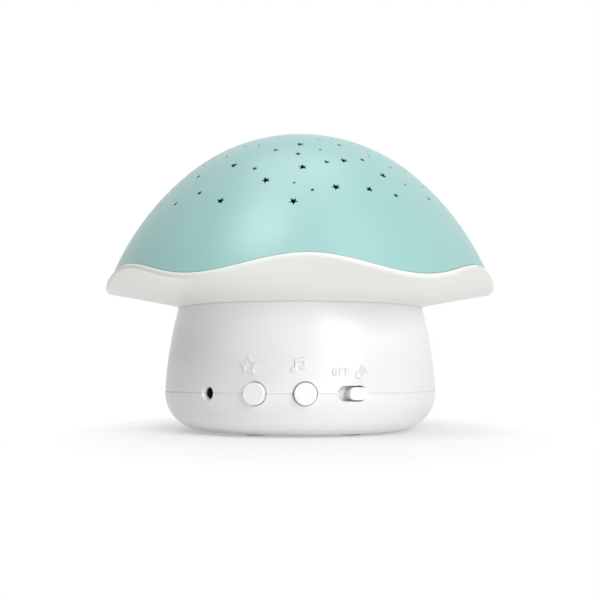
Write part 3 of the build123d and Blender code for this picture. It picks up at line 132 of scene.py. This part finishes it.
def shade_moulding(name, colour, painted_shade):
    """Moulded plastic of the dome. From just under the outer skin inward, its colour is painted shade:
    dark for the unlit inside and the star-hole walls.
    """
    made = moulded(name, colour, 0.33, depth=0.00001, tint=0.015)
    tree = made.node_tree
    shader = [node for node in tree.nodes if node.type == "BSDF_PRINCIPLED"][0]
    x, y, z = split(tree)

    def length(first, second):
        squares = [sums(tree, "MULTIPLY", side, side) for side in (first, second)]
        return sums(tree, "SQRT", sums(tree, "ADD", *squares))

    def depth(centre_radius, centre_z, reach):
        across = sums(tree, "SUBTRACT", radius, centre_radius)
        return sums(tree, "SUBTRACT", reach, length(across, sums(tree, "SUBTRACT", z, centre_z)))

    radius = length(x, y)
    slope = sums(tree, "DIVIDE", radius, sums(tree, "SUBTRACT", z, CROWN_Z))
    crown = sums(tree, "LESS_THAN", slope, math.tan(CROWN_HALF_ANGLE))
    flank = depth(FLANK_CENTRE[0], FLANK_CENTRE[1], FLANK_RADIUS)
    dome = depth(0.0, CROWN_Z, CROWN_RADIUS)
    under = sums(tree, "ADD", flank, sums(tree, "MULTIPLY", crown, sums(tree, "SUBTRACT", dome, flank)))
    # Painted shade mask: 0 in the teal skin, 1 deeper inside the wall
    painted_shade_mask = remap(tree, under, 0.0, 1.0, SKIN, SKIN * 1.5)
    skin = shader.inputs["Base Color"].links[0].from_socket
    paint(tree, shader, painted_shade_mask, skin, painted_shade)
    return made


def metal(name, colour, rough):
    """Plated metal with a fine uneven lustre."""
    made, tree, shader = new_material(name)
    darker = tuple(c * METAL_STAIN for c in colour)
    paint(tree, shader, remap(tree, noise(tree, 260.0, detail=4.0), 0.0, 1.0), darker, colour)
    shader.inputs["Metallic"].default_value = 1.0
    gloss(tree, shader, METAL_GRAIN_SCALE, rough - LUSTRE_DRIFT, rough + LUSTRE_DRIFT)
    bump(tree, shader, noise(tree, METAL_GRAIN_SCALE), depth=0.000004)
    return made


def rubber(name, colour):
    made, tree, shader = new_material(name)
    lighter = tuple(min(1.0, c * RUBBER_DUST) for c in colour)
    dust = remap(tree, noise(tree, 500.0, detail=5.0, roughness=0.7), 0.0, 1.0)
    paint(tree, shader, dust, colour, lighter)
    gloss(tree, shader, 300.0, low=0.55, high=0.75)
    bump(tree, shader, noise(tree, 2600.0), depth=0.00003)
    return made


def circuit_board(name, mask, track):
    """Solder mask over faintly raised copper tracks."""
    made, tree, shader = new_material(name)
    bricks = tree.nodes.new("ShaderNodeTexBrick")
    bricks.inputs["Scale"].default_value = 190.0
    bricks.inputs["Mortar Size"].default_value = 0.035
    tree.links.new(place(tree), bricks.inputs["Vector"])
    paint(tree, shader, bricks.outputs["Fac"], mask, track)
    gloss(tree, shader, 200.0, low=0.3, high=0.45)
    bump(tree, shader, bricks.outputs["Fac"], depth=0.00003)
    return made


def cell_jacket(name):
    """Printed sleeve, steel ends and a pale band by the plus pole; the middle cell lies the other way."""
    made, tree, shader = new_material(name)
    x, y, z = split(tree)
    middle_cell = sums(tree, "LESS_THAN", sums(tree, "ABSOLUTE", y), CELL_HALF_PITCH)
    facing = sums(tree, "SUBTRACT", 1.0, sums(tree, "MULTIPLY", middle_cell, 2.0))
    along = sums(tree, "MULTIPLY", x, facing)
    band = sums(tree, "GREATER_THAN", along, CELL_BAND_X)
    off_centre = sums(tree, "ABSOLUTE", sums(tree, "SUBTRACT", along, CELL_CENTRE_X))
    ends = sums(tree, "GREATER_THAN", off_centre, CELL_SLEEVE_HALF)
    print_grain = remap(tree, noise(tree, 900.0, detail=4.0), 0.0, 1.0)
    sleeve = mixed(tree, print_grain, (0.035, 0.045, 0.055), (0.05, 0.06, 0.075))
    paint(tree, shader, ends, mixed(tree, band, sleeve, (0.55, 0.56, 0.57)), (0.62, 0.61, 0.59))
    tree.links.new(ends, shader.inputs["Metallic"])
    gloss(tree, shader, 150.0, low=0.29, high=0.36)
    bump(tree, shader, noise(tree, 700.0), depth=0.00001)
    return made


def insulation(name, first, second):
    """Two wires of a pair, each in its own colour."""
    made, tree, shader = new_material(name)
    island = tree.nodes.new("ShaderNodeNewGeometry").outputs["Random Per Island"]
    pick = sums(tree, "GREATER_THAN", island, 0.5)
    paint(tree, shader, pick, first, second)
    gloss(tree, shader, 400.0, low=0.4, high=0.55)
    bump(tree, shader, noise(tree, 1500.0), depth=0.00001)
    return made


def paper_cone(name):
    made, tree, shader = new_material(name)
    fibre = remap(tree, noise(tree, 1400.0, detail=6.0, roughness=0.8), 0.0, 1.0)
    paint(tree, shader, fibre, (0.018, 0.018, 0.018), (0.05, 0.048, 0.045))
    gloss(tree, shader, 600.0, low=0.8, high=0.95)
    bump(tree, shader, noise(tree, 2200.0, detail=5.0, roughness=0.8), depth=0.00006)
    return made


def lamp_lens(name):
    """Clear moulded lens over a warm phosphor."""
    made, tree, shader = new_material(name)
    speck = remap(tree, noise(tree, 1200.0, detail=3.0), 0.0, 1.0)
    paint(tree, shader, speck, (0.80, 0.72, 0.30), (0.88, 0.82, 0.45))
    gloss(tree, shader, 300.0, low=0.06, high=0.14, detail=2.0)
    shader.inputs["Coat Weight"].default_value = 1.0
    shader.inputs["Coat Roughness"].default_value = 0.03
    return made


def sleeved_can(name):
    """Capacitor: a dark sleeve with a pale stripe and a bare aluminium top."""
    made, tree, shader = new_material(name)
    x, y, z = split(tree)
    top = sums(tree, "GREATER_THAN", z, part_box("capacitors")[1].z - CAN_TOP)
    grain = remap(tree, noise(tree, 800.0, detail=3.0), 0.0, 1.0)
    sleeve = mixed(tree, grain, (0.012, 0.016, 0.035), (0.02, 0.026, 0.05))
    paint(tree, shader, top, sleeve, (0.7, 0.7, 0.7))
    tree.links.new(top, shader.inputs["Metallic"])
    gloss(tree, shader, 300.0, low=0.29, high=0.4)
    return made


# Scales of the fine detail, per metre, and how far gloss and colour drift
CLOUD_SCALE = 45.0
MOULD_GRAIN_SCALE = 1800.0
METAL_GRAIN_SCALE = 900.0
GLOSS_DRIFT = 0.015
LUSTRE_DRIFT = 0.04
METAL_STAIN = 0.86
RUBBER_DUST = 1.12
CAN_TOP = 0.0005

TEAL = (0.326, 0.574, 0.552)
WHITE = (0.880, 0.890, 0.880)
# Painted light: a lighter copy of the housing white, for the button and slider faces that catch more
# light
LIT_KEY_WHITE = (0.935, 0.940, 0.935)
# Brim white: partly the collar's own warm tint, partly painted shade for its shaded underside
BRIM_TINT_AND_SHADE = (0.850, 0.852, 0.822)
BLACK = (0.018, 0.018, 0.019)
# Painted shade: near-black colour of the dome's inside, under the teal skin
INSIDE_PAINTED_SHADE = (0.006, 0.020, 0.018)
STEEL = (0.50, 0.50, 0.49)

# The dome's two arcs as they are in the solid, and the depth of its coloured skin, under which the
# painted shade starts
CROWN_RADIUS = 0.073
CROWN_Z = 0.0498
CROWN_HALF_ANGLE = math.radians(40.0)
FLANK_RADIUS = 0.110
FLANK_SHIFT = FLANK_RADIUS - CROWN_RADIUS
FLANK_CENTRE = (
    -FLANK_SHIFT * math.sin(CROWN_HALF_ANGLE), CROWN_Z - FLANK_SHIFT * math.cos(CROWN_HALF_ANGLE),
)
SKIN = 0.0003

# Where a cell's sleeve ends and its pale band begins, along X from the middle of the well
CELL_HALF_PITCH = 0.0074
CELL_BAND_X = 0.0145
CELL_CENTRE_X = 0.0018
CELL_SLEEVE_HALF = 0.0248

white_plastic = moulded("white_moulding", WHITE, 0.295, depth=0.000005, tint=0.006, edge=0.0003)
lit_key_plastic = moulded("key_moulding_lit", LIT_KEY_WHITE, 0.295, depth=0.000005, tint=0.006, edge=0.0003)
black_plastic = moulded("black_moulding", BLACK, 0.45, tint=0.2)
steel = metal("zinc_plate", STEEL, 0.33)
nickel = metal("nickel_plate", (0.68, 0.66, 0.61), 0.22)
finishes = {
    shade_moulding("teal_moulding_inside_shade", TEAL, INSIDE_PAINTED_SHADE): ("dome_shade",),
    moulded("brim_moulding_tint_and_shade", BRIM_TINT_AND_SHADE, 0.38, depth=0.000008, tint=0.006): ("brim_collar",),
    white_plastic: ("upper_housing", "base_housing", "battery_door"),
    lit_key_plastic: ("light_button", "music_button", "mode_slider"),
    black_plastic: (
        "lamp_deck", "light_switch", "music_switch", "light_switch_plunger", "music_switch_plunger",
        "slide_switch_lever", "dc_jack", "sound_chip",
    ),
    rubber("foot_rubber", (0.42, 0.42, 0.41)): ("rubber_feet",),
    rubber("gasket_foam", (0.02, 0.02, 0.02)): ("speaker_gasket",),
    steel: (
        "housing_screws", "deck_screws", "led_board_screws", "board_screws", "door_screw_left",
        "door_screw_right", "speaker_screws", "slide_switch", "speaker_frame",
    ),
    nickel: ("battery_springs", "battery_contacts", "dc_jack_pin"),
    metal("magnet_plate", (0.30, 0.30, 0.31), 0.4): ("speaker_magnet",),
    circuit_board("white_mask", (0.80, 0.80, 0.78), (0.86, 0.86, 0.84)): ("led_board",),
    circuit_board("green_mask", (0.012, 0.11, 0.035), (0.03, 0.19, 0.06)): ("main_board",),
    lamp_lens("lamp_lens"): ("projector_led",),
    sleeved_can("capacitor_sleeve"): ("capacitors",),
    cell_jacket("cell_jacket"): ("battery_cells",),
    paper_cone("cone_paper"): ("speaker_cone",),
    insulation("lead_insulation", (0.35, 0.015, 0.015), (0.015, 0.015, 0.015)): (
        "led_leads", "speaker_leads", "battery_leads",
    ),
}
for finish, names in finishes.items():
    for name in names:
        nodes[name].data.materials.clear()
        nodes[name].data.materials.append(finish)


# Floor, light and camera

def floor_material():
    """Pale light table: fades to the white backdrop, keeps the shadow, lets light through from below."""
    made = bpy.data.materials.new("studio_floor")
    made.use_nodes = True
    tree = made.node_tree
    tree.nodes.clear()
    output = tree.nodes.new("ShaderNodeOutputMaterial")
    diffuse = tree.nodes.new("ShaderNodeBsdfDiffuse")
    grain = remap(tree, noise(tree, 30.0, detail=4.0), 0.0, 1.0)
    tree.links.new(mixed(tree, grain, (0.93, 0.93, 0.925), (0.94, 0.94, 0.935)), diffuse.inputs["Color"])
    glow = tree.nodes.new("ShaderNodeEmission")
    glow.inputs["Color"].default_value = (1.0, 1.0, 1.0, 1.0)
    path = tree.nodes.new("ShaderNodeLightPath")
    seen = sums(tree, "MAXIMUM", path.outputs["Is Camera Ray"], path.outputs["Is Glossy Ray"])
    seen = sums(tree, "MAXIMUM", seen, path.outputs["Is Transmission Ray"])
    oval = tree.nodes.new("ShaderNodeVectorMath")
    oval.operation = "MULTIPLY"
    oval.inputs[1].default_value = FLOOR_OVAL
    tree.links.new(place(tree), oval.inputs[0])
    distance = tree.nodes.new("ShaderNodeVectorMath")
    distance.operation = "LENGTH"
    tree.links.new(oval.outputs["Vector"], distance.inputs[0])
    fade = remap(tree, distance.outputs["Value"], FLOOR_NEAR_GLOW, 1.0, *FLOOR_FADE)
    mix = tree.nodes.new("ShaderNodeMixShader")
    tree.links.new(sums(tree, "MULTIPLY", seen, fade), mix.inputs["Fac"])
    tree.links.new(diffuse.outputs["BSDF"], mix.inputs[1])
    tree.links.new(glow.outputs["Emission"], mix.inputs[2])
    clear = tree.nodes.new("ShaderNodeBsdfTransparent")
    below = tree.nodes.new("ShaderNodeNewGeometry").outputs["Backfacing"]
    through = tree.nodes.new("ShaderNodeMixShader")
    tree.links.new(sums(tree, "MAXIMUM", path.outputs["Is Shadow Ray"], below), through.inputs["Fac"])
    tree.links.new(mix.outputs["Shader"], through.inputs[1])
    tree.links.new(clear.outputs["BSDF"], through.inputs[2])
    tree.links.new(through.outputs["Shader"], output.inputs["Surface"])
    return made


def studio_floor():
    mesh = bpy.data.meshes.new("studio_floor")
    corners = ((-1, -1), (1, -1), (1, 1), (-1, 1))
    mesh.from_pydata([(FLOOR_REACH * x, FLOOR_REACH * y, 0) for x, y in corners], [], [(0, 1, 2, 3)])
    mesh.materials.append(floor_material())
    floor = bpy.data.objects.new("studio_floor", mesh)
    scene.collection.objects.link(floor)


def studio_world():
    """White backdrop for the camera and for reflections, and an even fill for the rest."""
    world = bpy.data.worlds.new("studio")
    scene.world = world
    world.use_nodes = True
    tree = world.node_tree
    tree.nodes.clear()
    output = tree.nodes.new("ShaderNodeOutputWorld")
    back = tree.nodes.new("ShaderNodeBackground")
    back.inputs["Color"].default_value = (1.0, 1.0, 1.0, 1.0)
    path = tree.nodes.new("ShaderNodeLightPath")
    seen = sums(tree, "MAXIMUM", path.outputs["Is Camera Ray"], path.outputs["Is Glossy Ray"])
    seen = sums(tree, "MAXIMUM", seen, path.outputs["Is Transmission Ray"])
    tree.links.new(remap(tree, seen, FILL, 1.0, 0.0, 1.0), back.inputs["Strength"])
    tree.links.new(back.outputs["Background"], output.inputs["Surface"])


def softbox(name, spot, size, power, shine=True):
    """Area lamp aimed at the object; without shine it fills but makes no highlight."""
    lamp = bpy.data.lights.new(name, "AREA")
    lamp.shape = "RECTANGLE"
    lamp.size, lamp.size_y = size
    lamp.energy = power
    made = bpy.data.objects.new(name, lamp)
    made.location = spot
    made.visible_glossy = shine
    made.rotation_mode = "QUATERNION"
    made.rotation_quaternion = (Vector(LAMP_AIM) - Vector(spot)).to_track_quat("-Z", "Y")
    scene.collection.objects.link(made)


FILL = 0.03
FLOOR_NEAR_GLOW = 0.3
FLOOR_OVAL = (1.6, 1.0, 1.0)
FLOOR_FADE = (0.06, 0.155)
FLOOR_REACH = 6.0
LAMP_AIM = (0.0, 0.0, 0.06)
studio_floor()
studio_world()
softbox("key_right", (0.53, -0.79, 0.50), size=(0.62, 0.42), power=4.8)
softbox("low_front", (0.25, -0.95, 0.12), size=(0.90, 0.20), power=1.8)
softbox("top_left", (-0.34, -0.44, 1.02), size=(0.45, 0.45), power=3.8)
softbox("top_right", (0.38, -0.50, 0.98), size=(0.45, 0.45), power=1.2)
softbox("overhead", (0.0, 0.05, 1.05), size=(0.60, 0.60), power=2.0)
softbox("back", (0.0, 0.95, 0.50), size=(0.80, 0.60), power=2.4, shine=False)
softbox("under_table", (0.0, -0.15, -0.90), size=(1.0, 1.0), power=2.1)

# The photograph's viewpoint: straight ahead and level, just above the table
CAMERA_AZIMUTH = math.radians(-1.91)
CAMERA_REACH = 0.386
CAMERA_HEIGHT = 0.0254
CAMERA_LENS = 54.7
CAMERA_SENSOR = 36.0
CAMERA_SHIFT = (-0.0005, 0.116)
CAMERA_NEAR = 0.01
lens = bpy.data.cameras.new("camera")
lens.lens = CAMERA_LENS
lens.sensor_width = CAMERA_SENSOR
lens.shift_x, lens.shift_y = CAMERA_SHIFT
lens.clip_start = CAMERA_NEAR
camera = bpy.data.objects.new("camera", lens)
camera.location = (
    CAMERA_REACH * math.sin(CAMERA_AZIMUTH), -CAMERA_REACH * math.cos(CAMERA_AZIMUTH), CAMERA_HEIGHT,
)
camera.rotation_euler = (math.pi / 2, 0.0, CAMERA_AZIMUTH)
scene.collection.objects.link(camera)
scene.camera = camera
